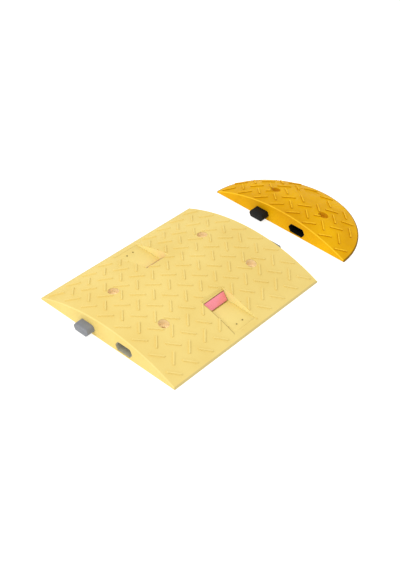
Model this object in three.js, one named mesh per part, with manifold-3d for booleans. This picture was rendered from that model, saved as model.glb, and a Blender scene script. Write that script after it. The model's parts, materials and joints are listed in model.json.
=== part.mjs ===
// Modular road hump: one cambered centre module and one half-round end cap, plugged together through
// hexagonal tongues and sockets. Millimetres, +Z up. The module lies along X (the line in which modules
// are chained), traffic crosses it along Y, and the origin is the middle of the module's underside.
// The end cap stands drawn off the module by capGap, in line with it.
import * as THREE from "three";
import { mergeVertices } from "three/addons/utils/BufferGeometryUtils.js";
import Module from "manifold-3d";

const wasm = await Module();
wasm.setup();

// ---- driving dimensions -------------------------------------------------------------------------
const humpWidth = 400; // across the hump, the way traffic crosses it
const moduleLength = 500; // along the chain
const edgeHeight = 4; // upright lip at the outer edge
const crestHeight = 47; // smooth crown of the camber, without the tread
const camberSteps = 20; // flats that stand for the camber's arc
const domeSides = 56; // flats round a full dome
const capGap = 108; // clear distance between the module and the drawn-off cap

const barLength = 37;
const barWidth = 5.5;
const barHeight = 3;
const barSink = 1.2; // how far a tread bar's root goes into the body
const barEndDraft = 0.6; // slope of a bar's ends and sides, as a share of its height
const barSideDraft = 0.4;
const barEdgeMargin = 7; // smooth border round the edge of the top
const treadPitch = 50;
const capTreadStart = 18; // first row of tread on the cap, from its face

const keyWidth = 45; // hexagonal tongue, corner to corner
const keyFlat = 33; // its flat top
const keyHeight = 20;
const keyCentreHeight = 15.5;
const moduleKeyReach = 21; // how far a tongue of the module stands out
const capKeyReach = 24; // and the cap's
const keyNoseBevel = 1.6;
const keyNeck = 30; // from the face back to the tongue's root
const keyRootLength = 25;
const keyRootWidth = 60;
const keyRootFoot = 0.5;
const laneOffset = 54; // tongue and socket lines, either side of the middle

const socketPlay = 0.4; // round a tongue in a socket
const linerWall = 1.5;
const linerInset = 1; // bare mouth in front of the liner
const socketSpare = 6; // left beyond a seated tongue
const seam = 0.3; // between pieces that bear on each other

const boltOffset = 75; // anchor holes, either side of the middle
const boltFromEnd = 100; // module's holes, from its end faces
const capBoltFromFace = 80;
const boltHoleDiameter = 14;
const seatDiameter = 26;
const seatHeight = 26; // floor on which an anchor's washer sits
const capSeatHeight = 20; // and the same in the cap, whose top is lower there
const holeSides = 24;

const windowWidth = 75; // reflector pockets
const windowTopEdge = 80.5; // where the pocket starts, from the crest line
const lensFoot = 103; // where the sloping back meets the pocket's floor
const floorAtLens = 12.6;
const mouthFromEdge = 15; // where the floor runs out on the camber, from the hump's edge
const carrierBed = 5; // thickness left under the carrier
const carrierBack = 6; // thickness of the carrier's sloping back
const carrierLip = 6; // body left above the carrier, up the slope
const carrierBrow = 4; // carrier left above the backing
const carrierFromMouth = 4; // pocket floor left in front of the carrier
const lensBorder = 1.6; // black edge of the backing seen round the lens
const lensSlot = 1.5; // slot in the floor in front of the lens's foot
const lensSlotDepth = 3;
const lensThickness = 2.2;
const backingThickness = 1.6;
const screwSpread = 20;
const screwFromMouth = 18.5;
const screwHeadDiameter = 3.6;
const screwHeadHeight = 0.9;
const screwShankDiameter = 2.4;
const screwDepth = 7.5;
const screwPlay = 0.4;
const screwHoleBottom = 1.5; // material left below the screw's blind hole
const screwSides = 12;

const padFromFace = 140; // smooth oval on the cap's slope
const padHalfX = 33;
const padHalfY = 46;
const padDepth = 0.8;
const ovalSides = 40;

const OVER = 1; // how far a cutting tool runs past the face that it cuts
const WELD = 1e-4; // vertices closer than this are one
const signs = [-1, 1];

// ---- camber --------------------------------------------------------------------------------------
const halfWidth = humpWidth / 2;
const halfLength = moduleLength / 2;
const camberRise = crestHeight - edgeHeight;
const camberRadius = (halfWidth ** 2 + camberRise ** 2) / (2 * camberRise);

// Height of the smooth top at a distance from the crest line, or from the cap's centre.
function camberAt(distance) {
  return crestHeight - camberRadius + Math.sqrt(camberRadius ** 2 - distance ** 2);
}
function camberSlopeAt(distance) {
  return -distance / Math.sqrt(camberRadius ** 2 - distance ** 2);
}
// Half of the section, from the crown to the lip, as [distance, height].
function camberPoints() {
  return Array.from({ length: camberSteps / 2 + 1 }, (_, i) => {
    const distance = (halfWidth * i) / (camberSteps / 2);
    return [distance, camberAt(distance)];
  });
}

// ---- solids --------------------------------------------------------------------------------------
function solid(geometry, matrix = new THREE.Matrix4()) {
  const bare = geometry.clone().applyMatrix4(matrix);
  bare.deleteAttribute("normal");
  bare.deleteAttribute("uv");
  const merged = mergeVertices(bare, WELD);
  return new wasm.Manifold(
    new wasm.Mesh({
      numProp: 3,
      vertProperties: new Float32Array(merged.attributes.position.array),
      triVerts: new Uint32Array(merged.index.array),
    }),
  );
}
function meshOf(name, made, material) {
  const { vertProperties, triVerts } = made.getMesh();
  const geometry = new THREE.BufferGeometry();
  geometry.setAttribute("position", new THREE.BufferAttribute(vertProperties, 3));
  geometry.setIndex(new THREE.BufferAttribute(triVerts, 1));
  geometry.computeVertexNormals();
  const mesh = new THREE.Mesh(geometry, material);
  mesh.name = name;
  return mesh;
}
const joined = (solids) => solids.reduce((all, next) => all.add(next));
const cutBy = (body, tools) => tools.reduce((left, tool) => left.subtract(tool), body);

function polygon(points) {
  return new THREE.Shape(points.map(([a, b]) => new THREE.Vector2(a, b)));
}
// Turns a shape that is extruded along Z so that its section lies in Y and Z and it starts at x = from.
function layAlongX(from) {
  const turn = new THREE.Matrix4().makeBasis(
    new THREE.Vector3(0, 1, 0),
    new THREE.Vector3(0, 0, 1),
    new THREE.Vector3(1, 0, 0),
  );
  return turn.setPosition(from, 0, 0);
}
// A section in Y and Z, drawn out along X from one place to another.
function prismAlongX(shape, from, to) {
  return solid(new THREE.ExtrudeGeometry(shape, { depth: to - from, bevelEnabled: false }), layAlongX(from));
}
function block([x0, x1], [y0, y1], [z0, z1]) {
  const geometry = new THREE.BoxGeometry(x1 - x0, y1 - y0, z1 - z0);
  return solid(geometry, new THREE.Matrix4().makeTranslation((x0 + x1) / 2, (y0 + y1) / 2, (z0 + z1) / 2));
}
function uprightCylinder(x, y, diameter, z0, z1, sides = holeSides) {
  const geometry = new THREE.CylinderGeometry(diameter / 2, diameter / 2, z1 - z0, sides);
  const turn = new THREE.Matrix4().makeRotationX(Math.PI / 2).setPosition(x, y, (z0 + z1) / 2);
  return solid(geometry, turn);
}
// The same solid half a turn round the vertical axis through the origin.
const turnedRound = (made) => made.rotate([0, 0, 180]);

// ---- tread ---------------------------------------------------------------------------------------
// One bar with sloping flanks: its root plane is sunk by barSink, along X, centred on the origin.
function barGeometry() {
  const tall = barHeight + barSink;
  const geometry = new THREE.BoxGeometry(barLength, barWidth, tall);
  const place = geometry.attributes.position;
  for (let i = 0; i < place.count; i++) {
    if (place.getZ(i) > 0) {
      place.setX(i, place.getX(i) - Math.sign(place.getX(i)) * barHeight * barEndDraft);
      place.setY(i, place.getY(i) - Math.sign(place.getY(i)) * barHeight * barSideDraft);
    }
  }
  return geometry.translate(0, 0, tall / 2 - barSink);
}
// A bar lying on a surface at a point with the given normal, its plan direction at 45 degrees to X.
function barOn(point, normal, leaning) {
  const plan = new THREE.Vector3(1, leaning, 0).normalize();
  const across = new THREE.Vector3().crossVectors(normal, plan).normalize();
  const along = new THREE.Vector3().crossVectors(across, normal).normalize();
  const lie = new THREE.Matrix4().makeBasis(along, across, normal).setPosition(point);
  return solid(barGeometry(), lie);
}
// Two square lattices of bars, half a pitch apart, leaning opposite ways, as [x, y, leaning].
function treadPlaces(firstX, lastX) {
  const places = [];
  const rows = Math.ceil(halfWidth / treadPitch);
  for (let x = firstX; x <= lastX; x += treadPitch) {
    for (let j = -rows; j < rows; j++) places.push([x, (j + 0.5) * treadPitch, -1]);
  }
  for (let x = firstX + treadPitch / 2; x <= lastX; x += treadPitch) {
    for (let j = -rows; j <= rows; j++) places.push([x, j * treadPitch, 1]);
  }
  return places;
}
const barHalfSpan = barLength / 2 / Math.SQRT2;

function moduleTread() {
  const first = -halfLength + treadPitch / 2;
  const bars = treadPlaces(first, halfLength - barHalfSpan - barEdgeMargin)
    .filter(([, y]) => Math.abs(y) + barHalfSpan < halfWidth - barEdgeMargin)
    .map(([x, y, leaning]) => {
      const normal = new THREE.Vector3(0, -camberSlopeAt(y), 1).normalize();
      return barOn(new THREE.Vector3(x, y, camberAt(y)), normal, leaning);
    });
  return joined(bars);
}
function capTread() {
  const clearOfPad = (x, y) => ((x - padFromFace) / padHalfX) ** 2 + (y / padHalfY) ** 2 > 1;
  const bars = treadPlaces(capTreadStart, halfWidth)
    .filter(([x, y, leaning]) => {
      const ends = [-barHalfSpan, barHalfSpan].map((s) => [x + s, y + leaning * s]);
      const onTop = ends.every(([a, b]) => a > 0 && Math.hypot(a, b) < halfWidth - barEdgeMargin / 2);
      return onTop && clearOfPad(x, y);
    })
    .map(([x, y, leaning]) => {
      const distance = Math.hypot(x, y);
      const slope = -camberSlopeAt(distance) / distance;
      const normal = new THREE.Vector3(slope * x, slope * y, 1).normalize();
      return barOn(new THREE.Vector3(x, y, camberAt(distance)), normal, leaning);
    });
  return joined(bars);
}

// ---- tongues and sockets -------------------------------------------------------------------------
const keyTop = keyCentreHeight + keyHeight / 2;
// The tongue's hexagon about its lane, each side moved out by grow.
function hexagonShape(lane, grow) {
  const half = keyHeight / 2;
  const lean = (keyWidth - keyFlat) / 2;
  const slant = Math.hypot(half, lean);
  const corner = keyWidth / 2 + (grow * slant) / half;
  const flat = keyFlat / 2 + (grow * (slant - lean)) / half;
  const [low, mid, high] = [-half - grow, 0, half + grow].map((z) => z + keyCentreHeight);
  return polygon([
    [lane - flat, low],
    [lane + flat, low],
    [lane + corner, mid],
    [lane + flat, high],
    [lane - flat, high],
    [lane - corner, mid],
  ]);
}
// A tongue that stands out by reach towards -X from a face at x = face, with its root behind that face.
function tongue(face, lane, reach) {
  const nose = new THREE.ExtrudeGeometry(hexagonShape(lane, -keyNoseBevel), {
    depth: keyNeck,
    bevelEnabled: true,
    bevelSegments: 1,
    bevelThickness: keyNoseBevel,
    bevelSize: keyNoseBevel,
  });
  const tip = solid(nose, layAlongX(face - reach + keyNoseBevel));
  const neck = prismAlongX(hexagonShape(lane, 0), face - reach + 2 * keyNoseBevel, face + keyNeck + OVER);
  const root = block(
    [face + keyNeck, face + keyNeck + keyRootLength],
    [lane - keyRootWidth / 2, lane + keyRootWidth / 2],
    [keyRootFoot, keyTop],
  );
  return joined([tip, neck, root]);
}
// The throat round a tongue's neck, and the pocket, open below, in which its root lies.
function tongueSlot(face, lane) {
  const reach = keyRootWidth / 2 + seam;
  return [
    prismAlongX(hexagonShape(lane, seam), face - OVER, face + keyNeck + OVER),
    block(
      [face + keyNeck - seam, face + keyNeck + keyRootLength + seam],
      [lane - reach, lane + reach],
      [-OVER, keyTop + seam],
    ),
  ];
}
const socketDepth = Math.max(moduleKeyReach, capKeyReach) + socketSpare;
const linerEnd = socketDepth + linerWall; // back of the liner, from the face
const socketLiner = (face, lane) =>
  prismAlongX(hexagonShape(lane, socketPlay + linerWall), face + linerInset, face + linerEnd).subtract(
    prismAlongX(hexagonShape(lane, socketPlay), face + linerInset - OVER, face + socketDepth),
  );
const socketBore = (face, lane) =>
  prismAlongX(hexagonShape(lane, socketPlay + linerWall + seam), face - OVER, face + linerEnd + seam);

// ---- anchor holes --------------------------------------------------------------------------------
function anchorHole(x, y, seat) {
  return [
    uprightCylinder(x, y, boltHoleDiameter, -OVER, seat + OVER),
    uprightCylinder(x, y, seatDiameter, seat, crestHeight + barHeight + OVER),
  ];
}
const moduleBolts = signs.flatMap((a) => signs.map((b) => [a * (halfLength - boltFromEnd), b * boltOffset]));

// ---- reflectors, drawn on the -Y slope: s is the distance from the crest line ----------------------
const windowMouth = halfWidth - mouthFromEdge;
const floorAtMouth = camberAt(windowMouth);
const screwFromCrest = windowMouth - screwFromMouth;
const backLean = Math.atan2(lensFoot - windowTopEdge, camberAt(windowTopEdge) - floorAtLens);
const floorSlope = (floorAtLens - floorAtMouth) / (windowMouth - lensFoot);
const floorAt = (s) => floorAtLens - floorSlope * (s - lensFoot);
const slopeAway = [-Math.cos(backLean), -Math.sin(backLean)]; // into the body, as [s, z]
const slopeUp = [-Math.sin(backLean), Math.cos(backLean)]; // up the sloping back
const onBack = (up, deep) => [
  lensFoot + slopeUp[0] * up + slopeAway[0] * deep,
  floorAtLens + slopeUp[1] * up + slopeAway[1] * deep,
];
const backLength = (camberAt(windowTopEdge) - floorAtLens) / Math.cos(backLean);
const backingHeight = backLength - carrierLip - carrierBrow - 2 * seam;
const lensHeight = backingHeight - 2 * lensBorder;
const backingDepth = backingThickness + lensThickness + seam; // recess for the backing and the lens
const carrierEnd = windowMouth - carrierFromMouth; // the thin end of the carrier
const toSection = (points) => polygon(points.map(([s, z]) => [-s, z]));
const windowSpan = (inset) => [-windowWidth / 2 + inset, windowWidth / 2 - inset];

// Everything above the pocket's floor and in front of its sloping back.
function windowAir() {
  const above = crestHeight + barHeight + OVER;
  const rise = (above - floorAtLens) / Math.cos(backLean);
  const reach = halfWidth + OVER;
  const air = toSection([onBack(0, 0), onBack(rise, 0), [reach, above], [reach, floorAt(reach)]]);
  return prismAlongX(air, ...windowSpan(0));
}
// The space that the carrier fills, grown by a seam when it is cut from the body.
function carrierSection(grow) {
  const [frontLow, frontTop] = [carrierEnd + grow, floorAt(carrierEnd)];
  const top = backLength - carrierLip + grow;
  const topBack = onBack(top, carrierBack + grow);
  const topFront = onBack(top, grow > 0 ? -OVER : 0);
  const heel = onBack(0, carrierBack + grow);
  return toSection([
    [frontLow, carrierBed - grow + seam],
    [frontLow, frontTop + (grow > 0 ? OVER : 0)],
    ...(grow > 0 ? [[lensFoot, floorAtLens + OVER]] : [onBack(0, 0)]),
    topFront,
    topBack,
    heel,
    [heel[0], carrierBed - grow + seam],
  ]);
}
function reflectorCarrier() {
  const whole = prismAlongX(carrierSection(0), ...windowSpan(seam));
  const bed = plateOnBack(0, backingHeight + 2 * seam, -OVER, backingDepth, -OVER);
  const slot = block(
    windowSpan(-OVER),
    [-lensFoot - lensSlot, OVER - lensFoot],
    [floorAtLens - lensSlotDepth, floorAtLens + OVER],
  );
  return cutBy(whole, [bed, slot, ...signs.map((side) => screwHole(side, 0))]);
}
// A flat plate lying in the carrier's sloping bed, from one depth to another.
function plateOnBack(low, high, from, to, inset) {
  const section = toSection([onBack(low, from), onBack(low, to), onBack(high, to), onBack(high, from)]);
  return prismAlongX(section, ...windowSpan(inset));
}
const backingFront = backingDepth - seam - backingThickness; // how deep its front face lies
const lensBack = backingFront - seam;
const lensLow = seam + lensBorder;
const reflectorBacking = () =>
  plateOnBack(seam, seam + backingHeight, backingFront, backingDepth - seam, 2 * seam);
const reflectorLens = () =>
  plateOnBack(lensLow, lensLow + lensHeight, lensBack - lensThickness, lensBack, 2 * seam + lensBorder);
function screwPart(side, diameter, z0, z1) {
  return uprightCylinder((side * screwSpread) / 2, -screwFromCrest, diameter, z0, z1, screwSides);
}
const screwHole = (side, bottom) =>
  screwPart(side, screwShankDiameter + 2 * screwPlay, bottom, floorAtLens + OVER);
function carrierScrew(side) {
  const floor = floorAt(screwFromCrest) + seam;
  const head = screwPart(side, screwHeadDiameter, floor, floor + screwHeadHeight);
  return head.add(screwPart(side, screwShankDiameter, floor - screwDepth, floor + screwHeadHeight / 2));
}
function reflectorPocket() {
  const screwHoles = signs.map((side) => screwHole(side, screwHoleBottom));
  return [windowAir(), prismAlongX(carrierSection(seam), ...windowSpan(0)), ...screwHoles];
}

// ---- bodies --------------------------------------------------------------------------------------
function moduleBody() {
  const half = camberPoints();
  const section = polygon([
    [-halfWidth, 0],
    [halfWidth, 0],
    ...half.toReversed(),
    ...half.slice(1).map(([distance, height]) => [-distance, height]),
  ]);
  const pocket = reflectorPocket();
  const endCuts = [...tongueSlot(-halfLength, laneOffset), socketBore(-halfLength, -laneOffset)];
  return cutBy(prismAlongX(section, -halfLength, halfLength).add(moduleTread()), [
    ...moduleBolts.flatMap(([x, y]) => anchorHole(x, y, seatHeight)),
    ...pocket,
    ...pocket.map(turnedRound),
    ...endCuts,
    ...endCuts.map(turnedRound),
  ]);
}
// The camber turned about the vertical axis, standing at a height.
function dome(height) {
  const profile = polygon([[0, 0], [halfWidth, 0], ...camberPoints().toReversed()]).getPoints();
  const place = new THREE.Matrix4().makeRotationX(Math.PI / 2).setPosition(0, 0, height);
  return solid(new THREE.LatheGeometry(profile, domeSides), place);
}
// The cap is drawn with its face at x = 0 and moved to its place by its group.
function capBody() {
  const half = dome(0).subtract(
    block([-halfWidth - OVER, 0], [-halfWidth - OVER, halfWidth + OVER], [-OVER, crestHeight + OVER]),
  );
  const bolts = signs.map((side) => [capBoltFromFace, side * boltOffset]);
  return cutBy(half.add(capTread()), [
    ...bolts.flatMap(([x, y]) => anchorHole(x, y, capSeatHeight)),
    ...tongueSlot(0, laneOffset),
    socketBore(0, -laneOffset),
    padRecess(),
  ]);
}
// A shallow oval sunk into the cap's slope: the space between the slope and the same slope let down.
function padRecess() {
  const oval = new THREE.CylinderGeometry(1, 1, 1, ovalSides).rotateX(Math.PI / 2);
  const place = new THREE.Matrix4().makeScale(padHalfX, padHalfY, 2 * crestHeight);
  return solid(oval, place.setPosition(padFromFace, 0, crestHeight)).subtract(dome(-padDepth));
}

// ---- materials -----------------------------------------------------------------------------------
const finish = (color, roughness) => new THREE.MeshStandardMaterial({ color, roughness, metalness: 0 });
const paleYellow = finish(0xf3d878, 0.62);
const deepYellow = finish(0xdf9f10, 0.55);
const greyRubber = finish(0x8b8c90, 0.75);
const blackRubber = finish(0x141416, 0.7);
const redLens = finish(0xf4868f, 0.3);
const darkScrew = finish(0x5f5838, 0.5);

// ---- assembly ------------------------------------------------------------------------------------
const hump = new THREE.Group();

hump.add(meshOf("module_body", moduleBody(), paleYellow));
const nearTongue = tongue(-halfLength, laneOffset, moduleKeyReach);
const nearLiner = socketLiner(-halfLength, -laneOffset);
hump.add(meshOf("module_near_tongue", nearTongue, greyRubber));
hump.add(meshOf("module_far_tongue", turnedRound(nearTongue), greyRubber));
hump.add(meshOf("module_near_socket_liner", nearLiner, greyRubber));
hump.add(meshOf("module_far_socket_liner", turnedRound(nearLiner), greyRubber));

for (const [side, place] of [["right", (made) => made], ["left", turnedRound]]) {
  hump.add(meshOf(`${side}_reflector_carrier`, place(reflectorCarrier()), paleYellow));
  hump.add(meshOf(`${side}_reflector_backing`, place(reflectorBacking()), greyRubber));
  hump.add(meshOf(`${side}_reflector_lens`, place(reflectorLens()), redLens));
  hump.add(meshOf(`${side}_carrier_screw_1`, place(carrierScrew(-1)), darkScrew));
  hump.add(meshOf(`${side}_carrier_screw_2`, place(carrierScrew(1)), darkScrew));
}

const cap = new THREE.Group();
cap.position.set(halfLength + capGap, 0, 0);
cap.add(meshOf("cap_body", capBody(), deepYellow));
cap.add(meshOf("cap_tongue", tongue(0, laneOffset, capKeyReach), blackRubber));
cap.add(meshOf("cap_socket_liner", socketLiner(0, -laneOffset), blackRubber));
hump.add(cap);

export default hump;
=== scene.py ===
"""A modular rubber road hump: one pale cambered module, and a deep yellow half-round end cap drawn off it.

Every CAD node is stood for by a finely modelled piece of the same size and place. Metres throughout:
X runs along the line of modules, Y across the hump, Z up, and the origin is the middle of the module's
underside.
"""

import json
import math

import bpy
from mathutils import Matrix, Vector


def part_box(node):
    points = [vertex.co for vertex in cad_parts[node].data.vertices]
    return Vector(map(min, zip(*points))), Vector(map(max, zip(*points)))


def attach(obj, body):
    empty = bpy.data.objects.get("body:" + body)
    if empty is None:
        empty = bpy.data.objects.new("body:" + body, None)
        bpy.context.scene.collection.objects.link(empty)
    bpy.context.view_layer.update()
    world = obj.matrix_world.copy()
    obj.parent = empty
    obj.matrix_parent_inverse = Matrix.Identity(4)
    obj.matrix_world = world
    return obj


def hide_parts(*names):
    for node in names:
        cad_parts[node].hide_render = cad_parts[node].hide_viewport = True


MM = 0.001

# ---- the frame and what is read from it ----------------------------------------------------------

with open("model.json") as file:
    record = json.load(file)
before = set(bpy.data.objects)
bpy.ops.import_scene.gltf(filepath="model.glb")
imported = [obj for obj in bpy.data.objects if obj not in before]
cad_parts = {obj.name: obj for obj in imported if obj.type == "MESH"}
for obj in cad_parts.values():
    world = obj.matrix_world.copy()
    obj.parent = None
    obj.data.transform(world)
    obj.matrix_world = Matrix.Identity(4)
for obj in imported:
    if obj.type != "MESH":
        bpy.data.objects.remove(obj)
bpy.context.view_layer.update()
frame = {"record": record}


def box_size(node):
    low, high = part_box(node)
    return [high[i] - low[i] for i in range(3)]


def box_middle(node):
    low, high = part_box(node)
    return [(high[i] + low[i]) / 2 for i in range(3)]


OPENINGS = {opening["name"]: opening["box_m"] for opening in frame["record"]["physics"]["openings"]}
OPENING_CLEARANCE = 0.1 * MM  # between a stated opening and the rubber below it

MODULE_LENGTH = box_size("module_body")[0]
HUMP_WIDTH = box_size("module_body")[1]
HALF_LENGTH = MODULE_LENGTH / 2
HALF_WIDTH = HUMP_WIDTH / 2
CAP_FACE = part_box("cap_body")[0][0]
SEAM = 0.3 * MM  # between pieces that bear on each other
OVER = 1 * MM  # how far a cutting tool runs past the face that it cuts
HAIR = 0.1 * MM  # slack when vertices are picked by their place

# ---- sizes of the camber -------------------------------------------------------------------------

EDGE_HEIGHT = 4 * MM
CREST_HEIGHT = 47 * MM
CAMBER_RISE = CREST_HEIGHT - EDGE_HEIGHT
CAMBER_RADIUS = (HALF_WIDTH**2 + CAMBER_RISE**2) / (2 * CAMBER_RISE)
CAMBER_AXIS_HEIGHT = CREST_HEIGHT - CAMBER_RADIUS
ROUND_EDGE = 0.9 * MM  # rounding of the moulding's lip and foot
FACE_EDGE = 1.7 * MM  # chamfer between an end face and the top


def camber_at(distance):
    return CAMBER_AXIS_HEIGHT + math.sqrt(CAMBER_RADIUS**2 - distance**2)


def camber_normal(x, y):
    """Outward normal of a surface that falls away from the origin as the camber does."""
    distance = math.hypot(x, y)
    return Vector((x, y, math.sqrt(CAMBER_RADIUS**2 - distance**2))).normalized()


# ---- sizes of the tread --------------------------------------------------------------------------

BAR_LENGTH = 37 * MM
BAR_WIDTH = 5.4 * MM
BAR_HEIGHT = 3 * MM
BAR_SINK = 1.2 * MM
BAR_END_DRAFT = 0.6  # slope of a bar's ends and sides, as a share of its height
BAR_SIDE_DRAFT = 0.4
BAR_END_ROUNDING = 0.36 * BAR_WIDTH  # in plan
BAR_TOP_EDGE = 0.45 * MM
TREAD_PITCH = 50 * MM
TREAD_BORDER = 7 * MM
CAP_TREAD_START = 18 * MM

# Smooth oval let into the cap's slope.
PAD_FROM_FACE = 140 * MM
PAD_HALF_X = 33 * MM
PAD_HALF_Y = 46 * MM
PAD_DEPTH = 0.8 * MM

# ---- sizes of the tongues and sockets ------------------------------------------------------------

LANE = box_middle("module_near_tongue")[1]
KEY_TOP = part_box("module_near_tongue")[1][2]
KEY_ROOT_WIDTH = box_size("module_near_tongue")[1]
MODULE_KEY_REACH = -HALF_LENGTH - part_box("module_near_tongue")[0][0]
CAP_KEY_REACH = CAP_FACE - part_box("cap_tongue")[0][0]
KEY_WIDTH = 45 * MM
KEY_FLAT = 33 * MM
KEY_HEIGHT = 20 * MM
KEY_MIDDLE = KEY_TOP - KEY_HEIGHT / 2
KEY_ROUNDING = 2.2 * MM  # along a tongue's six edges
KEY_NOSE_ROUNDING = 1.8 * MM
KEY_ROOT_ROUNDING = 1 * MM
KEY_NECK = 30 * MM
KEY_ROOT_LENGTH = 25 * MM
KEY_ROOT_FOOT = 0.5 * MM
LINER_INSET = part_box("module_near_socket_liner")[0][0] + HALF_LENGTH
LINER_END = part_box("module_near_socket_liner")[1][0] + HALF_LENGTH
LINER_WALL = 1.5 * MM
LINER_EDGE = 0.35 * MM
SOCKET_PLAY = 0.4 * MM
SOCKET_ROUNDING = 2.4 * MM  # along the edges of the socket, its liner, and the liner's bore
LINER_ROUNDING = 2.3 * MM
LINER_BORE_ROUNDING = 1.8 * MM

# ---- sizes of the anchor holes -------------------------------------------------------------------

BOLT_HOLE_RADIUS = 7 * MM
SEAT_RADIUS = 13 * MM
HOLE_MOUTH = 1 * MM  # chamfer round the mouth
SEAT_ROUNDING = 1.2 * MM
HOLE_SIDES = 64
ABOVE_TREAD = 8 * MM  # how far cutting tools reach over the camber


def hole_middle(name):
    """Where an anchor hole stands, as x and y."""
    (low_x, low_y, _), (high_x, high_y, _) = OPENINGS[name + "_anchor_hole_seat"]
    return ((low_x + high_x) / 2, (low_y + high_y) / 2)


# ---- sizes of the reflector windows, s being the distance from the crest line ----------------------

WINDOW_WIDTH = box_size("right_reflector_carrier")[0] + 2 * SEAM
CARRIER_END = -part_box("right_reflector_carrier")[0][1]
CARRIER_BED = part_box("right_reflector_carrier")[0][2] - SEAM
WINDOW_MOUTH = CARRIER_END + 4 * MM  # some floor of the body's own lies before the carrier
WINDOW_TOP = 80.5 * MM
LENS_FOOT = 103 * MM
FLOOR_AT_LENS = 12.6 * MM
LENS_SLOT = 1.5 * MM
LENS_SLOT_DEPTH = 3 * MM
CARRIER_BACK = 6 * MM
CARRIER_LIP = 6 * MM
CARRIER_BROW = 4 * MM
LENS_BORDER = 1.6 * MM
LENS_THICKNESS = 2.2 * MM
BACKING_THICKNESS = 1.6 * MM
SCREW_HEAD_RADIUS = 1.8 * MM
SCREW_HEAD_HEIGHT = 0.9 * MM
SCREW_RADIUS = 1.2 * MM
SCREW_DEPTH = 7.5 * MM
SCREW_HOLE_BOTTOM = 1.5 * MM
SCREW_HOLE_RADIUS = SCREW_RADIUS + 0.4 * MM
SCREW_HEAD_ROUNDING = 0.5 * MM
SCREW_TIP_EDGE = 0.3 * MM
RECESS_REACH = 1.1 * MM  # cross recess in a screw's head
RECESS_HALF_WIDTH = 0.24 * MM
RECESS_DEPTH = 0.5 * MM
CARRIER_EDGE = 0.35 * MM
LENS_EDGE = 0.6 * MM
BACKING_EDGE = 0.3 * MM

# ---- small tools for modelling --------------------------------------------------------------------


def clear_selection():
    if bpy.context.object and bpy.context.object.mode != "OBJECT":
        bpy.ops.object.mode_set(mode="OBJECT")
    bpy.ops.object.select_all(action="DESELECT")


def choose(*pieces):
    clear_selection()
    for piece in pieces:
        piece.select_set(True)
    bpy.context.view_layer.objects.active = pieces[0]


def settle(piece):
    """Puts the piece's place, turn and size into its mesh."""
    choose(piece)
    bpy.ops.object.transform_apply(location=True, rotation=True, scale=True)
    return piece


def edit(piece, mode="FACE"):
    choose(piece)
    bpy.ops.object.mode_set(mode="EDIT")
    bpy.ops.mesh.select_mode(type=mode)
    bpy.ops.mesh.select_all(action="DESELECT")
    bpy.ops.object.mode_set(mode="OBJECT")


def done(piece):
    bpy.ops.object.mode_set(mode="OBJECT")
    return piece


def cube(name, low, high):
    """A block between two corners."""
    clear_selection()
    middle = [(a + b) / 2 for a, b in zip(low, high)]
    bpy.ops.mesh.primitive_cube_add(size=1, location=middle)
    piece = bpy.context.object
    piece.name = name
    piece.scale = [b - a for a, b in zip(low, high)]
    return settle(piece)


def drawn_out(name, outline, low_x, high_x):
    """A section given as (y, z) points: a flat face whose corners lie on them, extruded along X."""
    clear_selection()
    bpy.ops.mesh.primitive_circle_add(vertices=len(outline), fill_type="NGON")
    piece = bpy.context.object
    piece.name = name
    for corner, (y, z) in zip(piece.data.vertices, outline):
        corner.co = (low_x, y, z)
    choose(piece)
    bpy.ops.object.mode_set(mode="EDIT")
    bpy.ops.mesh.select_all(action="SELECT")
    bpy.ops.mesh.extrude_region_move(TRANSFORM_OT_translate={"value": (high_x - low_x, 0, 0)})
    bpy.ops.mesh.select_all(action="SELECT")
    bpy.ops.mesh.normals_make_consistent(inside=False)
    return done(piece)


def post(name, x, y, radius, low, high, sides=48, cone=0.0):
    """An upright cylinder between two heights."""
    clear_selection()
    bpy.ops.mesh.primitive_cone_add(
        vertices=sides,
        radius1=radius,
        radius2=radius + cone,
        depth=high - low,
        location=(x, y, (low + high) / 2),
    )
    piece = bpy.context.object
    piece.name = name
    return settle(piece)


def copy_of(piece, name):
    twin = piece.copy()
    twin.data = piece.data.copy()
    twin.name = name
    bpy.context.scene.collection.objects.link(twin)
    return twin


def half_turned(piece, name):
    """A copy turned half round the vertical axis through the origin."""
    twin = copy_of(piece, name)
    twin.rotation_euler = (0, 0, math.pi)
    return settle(twin)


def lowered(piece, name, drop):
    twin = copy_of(piece, name)
    twin.location = (0, 0, -drop)
    return settle(twin)


def apply_modifier(piece, kind, **settings):
    choose(piece)
    modifier = piece.modifiers.new(kind.lower(), kind)
    for key, value in settings.items():
        setattr(modifier, key, value)
    bpy.ops.object.modifier_apply(modifier=modifier.name)
    return piece


def combine(piece, tools, operation):
    """Cuts the tools from the piece, or joins them to it, and removes them."""
    for tool in tools:
        apply_modifier(piece, "BOOLEAN", object=tool, operation=operation, solver="MANIFOLD")
        bpy.data.objects.remove(tool)
    return piece


def joined(pieces, name):
    choose(*pieces)
    bpy.ops.object.join()
    pieces[0].name = name
    return pieces[0]


def select_edges(piece, wanted):
    """Selects the edges for whose two ends wanted(a, b) is true, in object mode."""
    edit(piece, "EDGE")
    places = [vertex.co for vertex in piece.data.vertices]
    for edge in piece.data.edges:
        a, b = edge.vertices
        edge.select = wanted(places[a], places[b])
    bpy.ops.object.mode_set(mode="EDIT")


def resize_vertices(piece, wanted, scale, middle):
    edit(piece, "VERT")
    for vertex in piece.data.vertices:
        vertex.select = wanted(vertex.co)
    bpy.ops.object.mode_set(mode="EDIT")
    bpy.ops.transform.resize(value=scale, center_override=middle)
    return done(piece)


def lengthways(a, b):
    """Whether an edge between two places runs along X."""
    return abs(a.y - b.y) < HAIR and abs(a.z - b.z) < HAIR


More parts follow.
